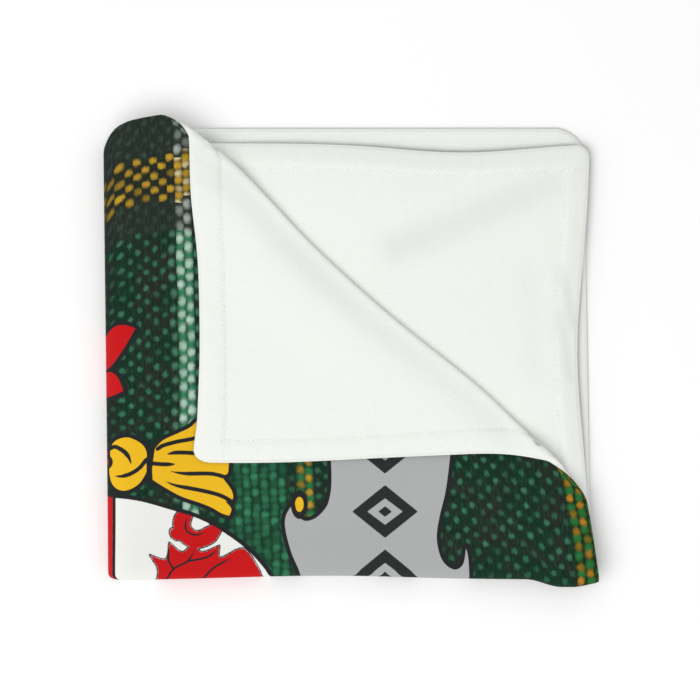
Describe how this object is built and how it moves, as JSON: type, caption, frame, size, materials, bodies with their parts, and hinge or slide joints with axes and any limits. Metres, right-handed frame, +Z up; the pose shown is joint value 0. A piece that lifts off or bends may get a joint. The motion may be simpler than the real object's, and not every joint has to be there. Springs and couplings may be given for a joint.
{
  "type": "folded plush throw blanket",
  "caption": "Plush throw folded in quarters, woven-look print outside and white plush inside, its top corner turned back.",
  "frame": {"origin": "centre of the underside's bounding box, on the surface the pile lies on", "axes": "+X along the front fold, away from the side fold; +Y from the front fold to the free back edges; +Z up"},
  "size_m": [0.3918, 0.373, 0.0316],
  "materials": {
    "plush": "short white plush, printed on one face with a dark green woven look, gold bands and a red and gold crest"
  },
  "bodies": {
    "root": {"blanket": "plush"}
  },
  "joints": []
}
